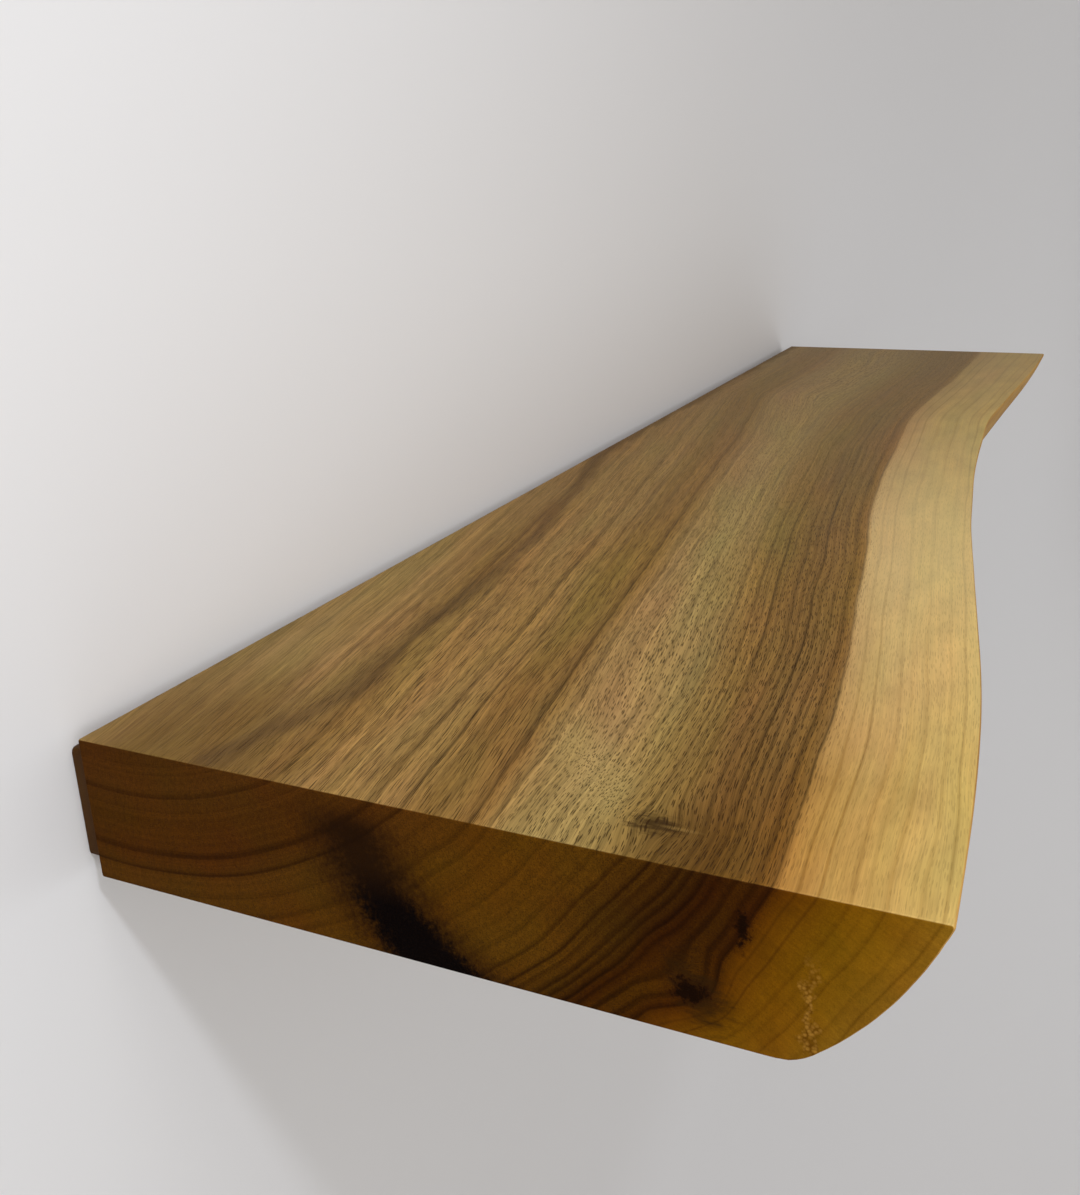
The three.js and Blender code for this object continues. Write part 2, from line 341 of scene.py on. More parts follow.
# A mineral stain. It drops from 0 at the top face to 1 at the underside, and leans by the square of that.
STAIN_Y = -104
STAIN_LEAN = -28
STAIN_WANDER = (0.25, 0.75, -3.2, 3.2)
BORDER_GROWTH = 10
BORDER_EDGE = (25, -1, 0, 0.93)
CORE_GROWTH = 15
CORE_WIDENS = (0.42, 1, 0, 1)
CORE_EDGE = (4.5, -4.5, 0, 1)
CORE_STARTS = (0.4, 0.66, 0, 1)

# Two bark pockets as (centre, radii), and the bulge of the rings over the first
BARK_POCKETS = (((0, -209.5, -36.6), (6.25, 4.76, 3.45)), ((0, -223.7, -13.4), (6.25, 2, 5)))
RING_BULGE = (17, 2, 0, 6)
POCKET_FRAY = (0.25, 0.75, -0.9, 0.9)
POCKET_GRIT = 0.12
POCKET_HALO = (1.8, 0.6, 0, 0.5)
POCKET_EDGE = (1.2, 0.4, 0, 0.92)

# An old worm track, full of crumbs
WORM_WANDER = (0.3, 0.7, -244, -239)
WORM_EDGE = (2.2, 0.44, 0, 0.75)
WORM_RISE = (-14, -30, 0, 1)
WORM_DEPTH = (2, 4, 1, 0)
CRUMB = 1.1

# The peeled live edge, by how squarely the surface faces out of the wall
FACES_OUT = (-0.35, -0.75, 0, 1)

# Settings of nodes: a change that starts and ends gently, and a mix of colours
EASED = {"interpolation_type": "SMOOTHSTEP"}
COLOURS = {"data_type": "RGBA"}
WHITE = (1, 1, 1, 1)


def linear(colour):
    """An sRGB hex colour as linear red, green, blue and alpha."""
    shares = [int(colour[i:i + 2], 16) / 255 for i in (0, 2, 4)]
    return [s / 12.92 if s <= 0.04045 else ((s + 0.055) / 1.055) ** 2.4 for s in shares] + [1]


def add(tree, kind, inputs=(), stops=(), **settings):
    """Adds a node. An input, by place or by name, is a plain value, or the node or socket that feeds it."""
    node = tree.nodes.new("ShaderNode" + kind)
    for name, value in settings.items():
        setattr(node, name, value)
    for i, (place, colour) in enumerate(stops):
        new = node.color_ramp.elements[i] if i < 2 else node.color_ramp.elements.new(place)
        new.position = place
        new.color = colour
    sockets = [s for s in node.inputs if s.enabled]
    for key, value in inputs.items() if isinstance(inputs, dict) else enumerate(inputs):
        socket = sockets[key] if isinstance(key, int) else next(s for s in sockets if s.name == key)
        if isinstance(value, bpy.types.Node):
            value = next(s for s in value.outputs if s.enabled)
        if isinstance(value, bpy.types.NodeSocket):
            tree.links.new(value, socket)
        else:
            socket.default_value = value
    return node


def new_material(name):
    """An empty material and its node tree."""
    material = bpy.data.materials.new(name)
    material.use_nodes = True
    material.node_tree.nodes.clear()
    return material, material.node_tree


def place_in_mm(tree, corner=(0, 0, 0)):
    """A place on the piece, in mm from a corner that is given in metres."""
    place = add(tree, "TexCoord").outputs["Object"]
    shift = [-value / MM for value in corner]
    return add(tree, "VectorMath", [place, (1 / MM,) * 3, shift], operation="MULTIPLY_ADD")


def noise_pattern(tree, place, name):
    """A noise pattern of the table, with its own grain lengths, and changed to values where it has them."""
    lengths, detail, roughness, *change = PATTERNS[name]
    scaled = add(tree, "VectorMath", [place, [1 / length for length in lengths]], operation="MULTIPLY")
    grains = add(tree, "TexNoise", {"Vector": scaled, "Scale": 1, "Detail": detail, "Roughness": roughness})
    return add(tree, "MapRange", [grains, *change]) if change else grains


def oval_reach(tree, place, centre, radii):
    """How far a place lies from an oval's centre, where the oval's edge is at 1."""
    off = add(tree, "VectorMath", [place, centre], operation="SUBTRACT")
    off = add(tree, "VectorMath", [off, [1 / radius for radius in radii]], operation="MULTIPLY")
    return add(tree, "VectorMath", [off], operation="LENGTH").outputs["Value"]


def grain_lie(wood, board):
    """How far down the board a place lies along the grain, which follows the live edge near it and runs
    on at a steady slope inside, and sways slowly all over."""
    shift = add(wood, "Attribute", attribute_name="edge_shift").outputs["Fac"]
    from_widest = add(wood, "Math", [board.y, SLAB_DEPTH], operation="ADD")
    from_edge = add(wood, "Math", [from_widest, shift], operation="SUBTRACT")
    follows = add(wood, "MapRange", [from_edge, *GRAIN_FOLLOWS_EDGE], **EASED)
    slant = add(wood, "Math", [board.x, GRAIN_SLOPE], operation="MULTIPLY")
    furthest = add(wood, "Math", [shift, GRAIN_SPREAD], operation="ADD")
    slant = add(wood, "Math", [slant, furthest], operation="MINIMUM")
    slide = add(wood, "Mix", {"Factor": follows, "A": slant, "B": shift})
    lane = add(wood, "Math", [board.y, slide], operation="SUBTRACT")
    straight = add(wood, "CombineXYZ", [board.x, lane, board.z])
    return add(wood, "Math", [lane, noise_pattern(wood, straight, "sway")], operation="ADD")


def parted_lane(wood, board):
    """The lane of a fibre. Fibres part round the knot as a stream parts round a post."""
    square = add(wood, "VectorMath", [board.knot_arm, board.knot_arm], operation="DOT_PRODUCT")
    reaches = (KNOT_REACH ** 2, KNOT_REACH_BELOW ** 2)
    reach = add(wood, "MapRange", [board.z, 0, -SLAB_THICKNESS, *reaches])
    softened = add(wood, "Math", [square.outputs["Value"], reach], operation="ADD")
    pull = add(wood, "Math", [reach, softened], operation="DIVIDE")
    pull = add(wood, "Math", [pull, KNOT_PULL], operation="MULTIPLY")
    aside = add(wood, "SeparateXYZ", [board.knot_arm]).outputs["Y"]
    parted = add(wood, "Math", [aside, pull], operation="MULTIPLY")
    return add(wood, "Math", [board.lane, parted], operation="SUBTRACT")


def ring_depth(wood, board):
    """How deep under the bark a place lies. The rings bulge over the larger bark pocket."""
    section = add(wood, "VectorMath", [board.fibre, (0, 1, 1)], operation="MULTIPLY")
    from_centre = add(wood, "VectorMath", [section, RING_CENTRE], operation="DISTANCE").outputs["Value"]
    depth = add(wood, "Math", [TRUNK_RADIUS, from_centre], operation="SUBTRACT")
    pocket = BARK_POCKETS[0][0]
    from_pocket = add(wood, "VectorMath", [board.place, pocket], operation="DISTANCE").outputs["Value"]
    bulge = add(wood, "MapRange", [from_pocket, *RING_BULGE], **EASED)
    return add(wood, "Math", [depth, bulge], operation="ADD")


def board_fields(wood):
    """What the wood's marks are drawn from: where a place lies on the board, on its grain, on its fibres
    and under its bark, and which way its surface faces."""
    board = SimpleNamespace()
    board.place = place_in_mm(wood, (slab_low.x, slab_high.y, slab_high.z))
    board.x, board.y, board.z = add(wood, "SeparateXYZ", [board.place]).outputs
    normal = add(wood, "TexCoord").outputs["Normal"]
    normal_x, board.normal_y, _ = add(wood, "SeparateXYZ", [normal]).outputs
    facing = add(wood, "Math", [normal_x], operation="ABSOLUTE")
    board.across = add(wood, "MapRange", [facing, *FACES_ALONG], **EASED)
    board.along_face = add(wood, "Math", [1, board.across], operation="SUBTRACT")

    board.lane = grain_lie(wood, board)
    board.figure = add(wood, "CombineXYZ", [board.x, board.lane, board.z])
    off_knot = add(wood, "VectorMath", [board.figure, KNOT_PLACE], operation="SUBTRACT")
    board.knot_arm = add(wood, "VectorMath", [board.z, KNOT_LEAN, off_knot], operation="MULTIPLY_ADD")
    board.fibre_lane = parted_lane(wood, board)
    board.fibre = add(wood, "CombineXYZ", [board.x, board.fibre_lane, board.z])
    board.depth = ring_depth(wood, board)
    board.ring_share = add(wood, "Math", [board.depth, RING_SPAN], operation="DIVIDE")
    board.below_sap = add(wood, "MapRange", [board.depth, *BELOW_SAP])
    board.in_heart = add(wood, "MapRange", [board.depth, *IN_HEART])

    faded = add(wood, "MapRange", [board.x, *FIGURE_FADES])
    board.figure_strength = add(wood, "Mix", {"Factor": board.across, "A": faded, "B": 1})
    board.streak = noise_pattern(wood, board.fibre, "streak")
    board.ragged = noise_pattern(wood, board.place, "ragged")
    board.grit = noise_pattern(wood, board.place, "grit")
    at_end = add(wood, "MapRange", [board.x, STAIN_DEPTH / 4, STAIN_DEPTH, 1, 0])
    below_top = add(wood, "MapRange", [board.z, *STAIN_TOP], **EASED)
    board.at_end = add(wood, "Math", [at_end, below_top], operation="MULTIPLY")
    ridge_fields(wood, board)
    return board


def ridge_fields(wood, board):
    """How far a place lies off the ridge beside the knot, and how strong the ridge is there."""
    off_lane = add(wood, "Math", [board.lane, RIDGE_LANE], operation="SUBTRACT")
    off_slant = add(wood, "Math", [off_lane, RIDGE_SLANT, board.x], operation="MULTIPLY_ADD")
    board.off_ridge = add(wood, "Math", [off_slant, RIDGE_X], operation="SUBTRACT")
    starts = add(wood, "MapRange", [board.lane, *RIDGE_STARTS], **EASED)
    ends = add(wood, "MapRange", [board.lane, *RIDGE_ENDS], **EASED)
    board.ridge_share = add(wood, "Math", [starts, ends], operation="MULTIPLY")


def face_mark(wood, board, tone, share, colour):
    """The tone with a colour laid over it on the faces along the grain, and not on the end grain."""
    share = add(wood, "Math", [share, board.along_face], operation="MULTIPLY")
    return add(wood, "Mix", {"Factor": share, "A": tone, "B": colour}, **COLOURS)


def oval_mark(wood, board, tone, place, mark):
    """The tone with an oval of colour on the face, strongest within its core."""
    centre, radii, core, strength, colour = mark
    reach = oval_reach(wood, place, centre, radii)
    share = add(wood, "MapRange", [reach, 1, core, 0, strength], **EASED)
    return face_mark(wood, board, tone, share, linear(colour))


def ring_stops(rings, bark_side, pith_side):
    """Ramp stops for lines that start sharply on the bark side and fade towards the pith."""
    stops = []
    for depth, strength in rings:
        stops += [(depth - bark_side, 0), (depth, strength), (depth + pith_side, 0)]
    return [(place / RING_SPAN, (value, value, value, 1)) for place, value in stops]


def ring_tones(wood, board):
    """The board's tones, paler on the face and darker on the end grain, where the darkness is partly the end
    grain's own and partly painted shade.
    """
    ramps = []
    for tones in (FACE_TONES, END_GRAIN_AND_SHADE_TONES):
        stops = [(depth / RING_SPAN, linear(colour)) for depth, colour in tones]
        ramps.append(add(wood, "ValToRGB", [board.ring_share], stops=stops))
    face, end = ramps
    return add(wood, "Mix", {"Factor": board.across, "A": face, "B": end}, **COLOURS)


def ring_lines(wood, board, tone):
    """The tone with ring lines, strong in the heartwood and thin in the sapwood."""
    outer, inner, sap = [add(wood, "ValToRGB", [board.ring_share], stops=ring_stops(*lines))
                         for lines in RING_LINES]
    heart = add(wood, "Math", [outer, inner], operation="MAXIMUM")
    sharpness = add(wood, "MapRange", [board.across, *LINE_SHARPNESS])
    heart = add(wood, "Math", [heart, sharpness], operation="POWER")
    deep = add(wood, "MapRange", [board.depth, *DEEP_END_LINES])
    innermost = add(wood, "MapRange", [board.depth, *INNER_END_LINES])
    end_weight = add(wood, "Math", [deep, innermost], operation="MAXIMUM")
    weight = add(wood, "Mix", {"Factor": board.across, "A": 1, "B": end_weight})
    strength = noise_pattern(wood, board.figure, "line_strength")
    for factor in (strength, board.figure_strength, weight):
        heart = add(wood, "Math", [heart, factor], operation="MULTIPLY")
    sap = add(wood, "Math", [sap, SAP_LINE_STRENGTH], operation="MULTIPLY")
    # On the end grain the line colours are darker, partly with painted shade
    for share, face, end in ((heart, "1d0e02", "160700"), (sap, "7e5a22", "452603")):
        line = add(wood, "Mix", {"Factor": board.across, "A": linear(face), "B": linear(end)}, **COLOURS)
        tone = add(wood, "Mix", {"Factor": share, "A": tone, "B": line}, **COLOURS)
    return tone


def fine_rings(wood, board):
    """Tint of the finer rings between, uneven as a tree's years are, and weaker in the sapwood."""
    rings = add(wood, "TexNoise", {"W": board.depth, "Scale": 1 / FINE_RING_WIDTH, "Detail": 4,
                                   "Roughness": 0.75}, noise_dimensions="1D")
    rings = add(wood, "MapRange", [rings, *FINE_RING_TONES])
    weight = add(wood, "MapRange", [board.across, *FINE_RING_WEIGHT])
    for factor in (weight, board.figure_strength):
        rings = add(wood, "Math", [rings, factor], operation="MULTIPLY")
    return add(wood, "Math", [rings, board.in_heart, 1], operation="MULTIPLY_ADD")


def fibre_streaks(wood, board):
    """Tint of the fibre streaks, long and short along the grain, and weaker in the sapwood."""
    streaks = add(wood, "MapRange", [board.streak, *STREAK_TONES])
    hairs = noise_pattern(wood, board.fibre, "hair")
    streaks = add(wood, "Math", [streaks, hairs], operation="ADD")
    weight = add(wood, "MapRange", [board.depth, *STREAK_WEIGHT])
    return add(wood, "Math", [streaks, weight, 1], operation="MULTIPLY_ADD")


def clouds(wood, board):
    """Tint of broad clouds of colour."""
    cloud = noise_pattern(wood, board.figure, "cloud").outputs["Color"]
    return add(wood, "VectorMath", [cloud, CLOUD_REACH, CLOUD_LOW], operation="MULTIPLY_ADD")


def mottle(wood, board):
    """Tint of the mottled sapwood."""
    weight = add(wood, "MapRange", [board.depth, *MOTTLE_WEIGHT])
    blotch = noise_pattern(wood, board.figure, "mottle")
    return add(wood, "Math", [blotch, weight, 1], operation="MULTIPLY_ADD")


def near_tint(wood, board):
    """Tint of the near end, where the face is darkest."""
    near = add(wood, "MapRange", [board.x, *NEAR_REACH])
    in_sap = add(wood, "MapRange", [board.depth, *NEAR_SAP])
    in_heart = add(wood, "MapRange", [board.depth, *NEAR_HEART])
    share = add(wood, "Mix", {"Factor": board.below_sap, "A": in_sap, "B": in_heart})
    for factor in (near, board.along_face):
        share = add(wood, "Math", [share, factor], operation="MULTIPLY")
    tint = add(wood, "Mix", {"Factor": board.below_sap, "A": linear("f4ead4"), "B": linear("dccfb4")},
               **COLOURS)
    return add(wood, "Mix", {"Factor": share, "A": WHITE, "B": tint}, **COLOURS)


def end_rays(wood, board):
    """Tint of the rays: fine lines from the pith outwards, seen on the end grain."""
    off_pith = add(wood, "VectorMath", [board.fibre, RING_CENTRE], operation="SUBTRACT")
    _, ray_y, ray_z = add(wood, "SeparateXYZ", [off_pith]).outputs
    bearing = add(wood, "Math", [ray_y, ray_z], operation="ARCTAN2")
    ray_place = add(wood, "CombineXYZ", [bearing, board.depth, 0])
    rays = noise_pattern(wood, ray_place, "ray")
    return add(wood, "Math", [rays, board.across, 1], operation="MULTIPLY_ADD")


def paler_onwards(wood, board, tone):
    """The tone with its colours drawn together along the board: yellower sapwood in the middle, and
    towards the far end painted reflection and shade, a grey veil that pales the dark wood and dulls the
    sapwood."""
    middle = add(wood, "MapRange", [board.x, *MIDDLE_REACH])
    before_far = add(wood, "MapRange", [board.x, *MIDDLE_ENDS])
    in_sap = add(wood, "Math", [1, board.below_sap], operation="SUBTRACT")
    for factor in (before_far, in_sap):
        middle = add(wood, "Math", [middle, factor], operation="MULTIPLY")
    tone = face_mark(wood, board, tone, middle, linear("ead49a"))
    # Painted reflection and shade: the far end's face is drawn towards a grey veil
    far = add(wood, "MapRange", [board.x, *FAR_SHEEN_REACH])
    sheen_veil_tone = add(wood, "Mix", {"Factor": board.below_sap, "A": linear("a08f6c"), "B": linear("8b785b")},
                   **COLOURS)
    return face_mark(wood, board, tone, far, sheen_veil_tone)


def knot_ridge(wood, board, tone):
    """The tone with a paler ridge inwards from the knot, where the fibres rise and dive again."""
    aside = add(wood, "Math", [board.off_ridge], operation="ABSOLUTE")
    share = add(wood, "MapRange", [aside, *RIDGE_WIDTH], **EASED)
    share = add(wood, "Math", [share, board.ridge_share], operation="MULTIPLY")
    return face_mark(wood, board, tone, share, linear("b39c60"))


def smoky_streak(wood, board, tone):
    """The tone with the smoky streak near the back, which swells and fades on its way."""
    along = add(wood, "Math", [board.x, STREAK_REACH], operation="DIVIDE")
    last = len(STREAK_PATH_SHARES) - 1
    stops = [(i / last, (share, share, share, 1)) for i, share in enumerate(STREAK_PATH_SHARES)]
    path = add(wood, "ValToRGB", [along], stops=stops)
    path.color_ramp.interpolation = "B_SPLINE"
    off = add(wood, "Math", [path, STREAK_WIDTH, board.y], operation="MULTIPLY_ADD")
    off = add(wood, "Math", [off, noise_pattern(wood, board.figure, "smoke")], operation="ADD")
    off = add(wood, "Math", [off], operation="ABSOLUTE")
    off = add(wood, "Math", [off, noise_pattern(wood, board.place, "smoke_width")], operation="DIVIDE")
    smoky = add(wood, "MapRange", [off, *STREAK_EDGE], **EASED)
    at_top = add(wood, "MapRange", [board.z, *STREAK_DEPTH])
    smoky = add(wood, "Math", [smoky, at_top], operation="MULTIPLY")
    return face_mark(wood, board, tone, smoky, linear("4f3922"))


def knot(wood, board, tone):
    """The tone with the knot: browner wood beside it, its own dark heart, and a pale ray to the bark."""
    tone = oval_mark(wood, board, tone, board.knot_arm, KNOT_SHADE)
    reach = oval_reach(wood, board.knot_arm, (0, 0, 0), KNOT_STRETCH)
    reach = add(wood, "Math", [reach, noise_pattern(wood, board.place, "knot_fleck")], operation="ADD")
    share = add(wood, "MapRange", [reach, *KNOT_HEART], **EASED)
    tone = add(wood, "Mix", {"Factor": share, "A": tone, "B": linear("2e1c06")}, **COLOURS)
    return oval_mark(wood, board, tone, board.knot_arm, KNOT_RAY)


def dark_heartwood(wood, board, tone):
    """The tone with the end's darkest heartwood near the top, in streaks along the rings."""
    uneven = add(wood, "MapRange", [board.ragged, *DARK_HEART_UNEVENNESS])
    uneven = add(wood, "Math", [board.depth, uneven], operation="ADD")
    dark = add(wood, "MapRange", [uneven, *DARK_HEART_ENDS], **EASED)
    inside_sap = add(wood, "MapRange", [board.depth, *DARK_HEART_STARTS])
    high = add(wood, "MapRange", [board.z, *DARK_HEART_RISE], **EASED)
    for factor in (inside_sap, high, board.across):
        dark = add(wood, "Math", [dark, factor], operation="MULTIPLY")
    return add(wood, "Mix", {"Factor": dark, "A": tone, "B": linear("230b02")}, **COLOURS)


def mineral_stain(wood, board, tone):
    """The tone with a black wedge that leans and widens downwards, in a purple-brown border."""
    drop = add(wood, "Math", [board.z, -1 / SLAB_THICKNESS], operation="MULTIPLY")
    bend = add(wood, "Math", [drop, 2], operation="POWER")
    middle = add(wood, "Math", [bend, STAIN_LEAN, STAIN_Y], operation="MULTIPLY_ADD")
    aside = add(wood, "Math", [board.y, middle], operation="SUBTRACT")
    aside = add(wood, "Math", [aside], operation="ABSOLUTE")
    wander = add(wood, "MapRange", [board.ragged, *STAIN_WANDER])
    aside = add(wood, "Math", [aside, wander], operation="ADD")
    aside = add(wood, "Math", [aside, board.grit], operation="ADD")
    off_border = add(wood, "Math", [drop, -BORDER_GROWTH, aside], operation="MULTIPLY_ADD")
    border = add(wood, "MapRange", [off_border, *BORDER_EDGE], **EASED)
    widening = add(wood, "MapRange", [drop, *CORE_WIDENS])
    widening = add(wood, "Math", [widening, 0.5], operation="POWER")
    off_core = add(wood, "Math", [widening, -CORE_GROWTH, aside], operation="MULTIPLY_ADD")
    core = add(wood, "MapRange", [off_core, *CORE_EDGE], **EASED)
    lower = add(wood, "MapRange", [drop, *CORE_STARTS])
    core = add(wood, "Math", [core, lower], operation="MULTIPLY")
    for share, colour in ((border, "1c0d03"), (core, "050202")):
        share = add(wood, "Math", [share, board.at_end], operation="MULTIPLY")
        tone = add(wood, "Mix", {"Factor": share, "A": tone, "B": linear(colour)}, **COLOURS)
    return tone


def bark_pockets(wood, board, tone):
    """The tone with dark pockets of old bark, each in a brown halo."""
    frayed = add(wood, "MapRange", [board.ragged, *POCKET_FRAY])
    for centre, radii in BARK_POCKETS:
        reach = oval_reach(wood, board.place, centre, radii)
        reach = add(wood, "Math", [reach, frayed], operation="ADD")
        reach = add(wood, "Math", [board.grit, POCKET_GRIT, reach], operation="MULTIPLY_ADD")
        halo = add(wood, "MapRange", [reach, *POCKET_HALO], **EASED)
        halo = add(wood, "Math", [halo, board.at_end], operation="MULTIPLY")
        pocket = add(wood, "MapRange", [reach, *POCKET_EDGE], **EASED)
        for share, colour in ((halo, "2a1003"), (pocket, "120601")):
            tone = add(wood, "Mix", {"Factor": share, "A": tone, "B": linear(colour)}, **COLOURS)
    return tone


def worm_track(wood, board, tone):
    """The tone with a worm track: small pale crumbs with brown cracks between."""
    middle = add(wood, "MapRange", [board.ragged, *WORM_WANDER])
    aside = add(wood, "Math", [board.y, middle], operation="SUBTRACT")
    aside = add(wood, "Math", [aside], operation="ABSOLUTE")
    track = add(wood, "MapRange", [aside, *WORM_EDGE])
    low = add(wood, "MapRange", [board.z, *WORM_RISE], **EASED)
    near = add(wood, "MapRange", [board.x, *WORM_DEPTH])
    for factor in (low, board.across, near):
        track = add(wood, "Math", [track, factor], operation="MULTIPLY")
    crumbs = add(wood, "TexVoronoi", {"Vector": board.place, "Scale": 1 / CRUMB})
    crumb_tone = add(wood, "ValToRGB", [crumbs.outputs["Distance"]],
                     stops=[(0.25, linear("a2752c")), (0.75, linear("5a3608"))])
    return add(wood, "Mix", {"Factor": track, "A": tone, "B": crumb_tone}, **COLOURS)


def open_pores(wood, board):
    """How open the wood is: vessels as short dashes and long hairs along the grain, and as dots across
    it. They are cut shortest on the ridge beside the knot, and thin out along the board and near its back."""
    wave = noise_pattern(wood, board.fibre, "pore_wave")
    lane = add(wood, "Math", [board.fibre_lane, wave], operation="ADD")
    lane = add(wood, "Math", [board.z, board.along_face, lane], operation="MULTIPLY_ADD")
    dive = add(wood, "Math", [board.off_ridge, RIDGE_DIVE_WIDTH], operation="DIVIDE")
    dive = add(wood, "Math", [dive], operation="ARCTANGENT")
    steepness = add(wood, "Math", [board.ridge_share, RIDGE_DIVE], operation="MULTIPLY")
    along = add(wood, "Math", [dive, steepness, board.x], operation="MULTIPLY_ADD")
    layers = []
    for length, width, outer, inner in PORE_LAYERS:
        step_along = add(wood, "Math", [along, length], operation="DIVIDE")
        step_down = add(wood, "Math", [board.z, width], operation="DIVIDE")
        step_along = add(wood, "Mix", {"Factor": board.across, "A": step_along, "B": step_down})
        step_across = add(wood, "Math", [lane, width], operation="DIVIDE")
        pore_place = add(wood, "CombineXYZ", [step_along, step_across, 0])
        vessels = add(wood, "TexVoronoi", {"Vector": pore_place, "Scale": 1}, voronoi_dimensions="2D")
        size = add(wood, "MapRange", [vessels.outputs["Color"], *PORE_SIZES])
        off_vessel = add(wood, "Math", [vessels.outputs["Distance"], size], operation="DIVIDE")
        layer = add(wood, "MapRange", [off_vessel, *PORE_EDGE], **EASED)
        share = add(wood, "MapRange", [board.depth, *PORE_ZONES, outer, inner])
        layers.append(add(wood, "Math", [layer, share], operation="MULTIPLY"))
    pores = add(wood, "Math", layers, operation="MAXIMUM")
    thin_along = add(wood, "MapRange", [board.x, *PORES_THIN_OUT])
    thin_back = add(wood, "MapRange", [board.y, *PORES_THIN_AT_BACK])
    thin = add(wood, "Math", [thin_along, thin_back], operation="MINIMUM")
    for factor in (board.in_heart, thin):
        pores = add(wood, "Math", [pores, factor], operation="MULTIPLY")
    return pores


def pore_tones(wood, board, tone, pores):
    """The tone with its pores darkened."""
    strength = add(wood, "MapRange", [board.across, *PORE_STRENGTH])
    share = add(wood, "Math", [pores, strength], operation="MULTIPLY")
    # On the end grain the pores' colour is darker, partly with painted shade
    colour = add(wood, "Mix", {"Factor": board.across, "A": linear("2f1c06"), "B": linear("1e0f03")},
                 **COLOURS)
    return add(wood, "Mix", {"Factor": share, "A": tone, "B": colour}, **COLOURS)


def peeled_edge(wood, board, tone):
    """The tone with the peeled live edge: golden, in long soft drifts, with brown flecks of inner bark."""
    faces_out = add(wood, "MapRange", [board.normal_y, *FACES_OUT], **EASED)
    peeled = add(wood, "ValToRGB", [noise_pattern(wood, board.place, "peeled_drift")],
                 stops=[(0.3, linear("a57a3e")), (0.5, linear("b88d4a")), (0.7, linear("c39b55"))])
    flecks = noise_pattern(wood, board.place, "bark_fleck")
    peeled = add(wood, "Mix", {"Factor": flecks, "A": peeled, "B": linear("7a5424")}, **COLOURS)
    peeled = add(wood, "VectorMath", [peeled, fibre_streaks(wood, board)], operation="MULTIPLY")
    return add(wood, "Mix", {"Factor": faces_out, "A": tone, "B": peeled}, **COLOURS)


def oiled_walnut():
    """Black walnut, planed, sanded and oiled: a satin face with open pores as short dark dashes,
    brown heartwood against golden sapwood, and end grain that the oil and painted shade together turn much
    darker."""
    material, wood = new_material("oiled_walnut")
    board = board_fields(wood)
    tone = ring_lines(wood, board, ring_tones(wood, board))
    for tinted in (fine_rings, fibre_streaks, clouds, mottle, near_tint):
        tone = add(wood, "VectorMath", [tone, tinted(wood, board)], operation="MULTIPLY")
    tone = paler_onwards(wood, board, tone)
    tone = add(wood, "VectorMath", [tone, end_rays(wood, board)], operation="MULTIPLY")
    tone = knot_ridge(wood, board, tone)
    # Painted shade: a darker oval over the near back corner of the face
    tone = oval_mark(wood, board, tone, board.figure, BACK_CORNER_PAINTED_SHADE)
    for marked in (smoky_streak, knot, dark_heartwood, mineral_stain, bark_pockets, worm_track):
        tone = marked(wood, board, tone)
    pores = open_pores(wood, board)
    tone = pore_tones(wood, board, tone, pores)
    tone = peeled_edge(wood, board, tone)

    roughness = add(wood, "MapRange", [board.streak, *WOOD_SHEEN])
    roughness = add(wood, "Math", [board.across, END_ROUGHNESS, roughness], operation="MULTIPLY_ADD")
    heights = add(wood, "Math", [pores, -1, board.streak], operation="MULTIPLY_ADD")
    relief = add(wood, "Bump", {"Strength": 0.6, "Distance": 0.08 * MM, "Height": heights})
    shader = add(wood, "BsdfPrincipled", {"Base Color": tone, "Roughness": roughness, "IOR": 1.5,
                                          "Specular IOR Level": 0.02, "Normal": relief})
    add(wood, "OutputMaterial", [shader])
    return material


def powder_coat(name, low, high, rubbed=False):
    """Mild steel, powder coated: dark bronze with the orange peel that baked powder keeps. The rods
    also carry lengthwise rub marks from the slab's bores, where the coat is polished and grey."""
    material, coat = new_material(name)
    place = place_in_mm(coat)
    peel = noise_pattern(coat, place, "orange_peel")
    shade = noise_pattern(coat, place, "coat_shade")
    colour = add(coat, "ValToRGB", [shade], stops=[(0.35, linear(low)), (0.7, linear(high))])
    dust = noise_pattern(coat, place, "dust")
    colour = add(coat, "Mix", {"Factor": dust, "A": colour, "B": linear("6b5c4c")}, **COLOURS)
    roughness = add(coat, "MapRange", [peel, *COAT_SHEEN])
    if rubbed:
        rub = noise_pattern(coat, place, "rub")
        colour = add(coat, "Mix", {"Factor": rub, "A": colour, "B": linear("75706a")}, **COLOURS)
        roughness = add(coat, "Math", [rub, -RUB_POLISH, roughness], operation="MULTIPLY_ADD")
    relief = add(coat, "Bump", {"Strength": 0.5, "Distance": 0.05 * MM, "Height": peel})
    shader = add(coat, "BsdfPrincipled", {"Base Color": colour, "Roughness": roughness,
                                          "Specular IOR Level": 0.08, "Normal": relief})
    add(coat, "OutputMaterial", [shader])
    return material


def yellow_zinc():
    """Steel screw, zinc plated and yellow passivated: a thin bright film whose gold drifts towards
    green and pink, a little dull in the grain of the forming, with fine handling scratches."""
    material, metal = new_material("yellow_zinc")
    place = place_in_mm(metal)
    film = noise_pattern(metal, place, "zinc_film")
    colour = add(metal, "ValToRGB", [film], stops=[(0.3, linear("b9b184")), (0.45, linear("cdb274")),
                                                   (0.6, linear("d2ab72")), (0.75, linear("c2a48a"))])
    scratch = noise_pattern(metal, place, "scratch")
    colour = add(metal, "Mix", {"Factor": scratch, "A": colour, "B": linear("dcd6c4")}, **COLOURS)
    grain = noise_pattern(metal, place, "zinc_grain")
    roughness = add(metal, "MapRange", [grain, *ZINC_SHEEN])
    relief = add(metal, "Bump", {"Strength": 0.4, "Distance": 0.02 * MM, "Height": grain})
    shader = add(metal, "BsdfPrincipled", {"Base Color": colour, "Roughness": roughness, "Metallic": 1,
                                           "Normal": relief})
    add(metal, "OutputMaterial", [shader])
    return material


def in_scene(name, data):
    """A new object that holds the data, in the scene."""
    made = bpy.data.objects.new(name, data)
    bpy.context.scene.collection.objects.link(made)
    return made


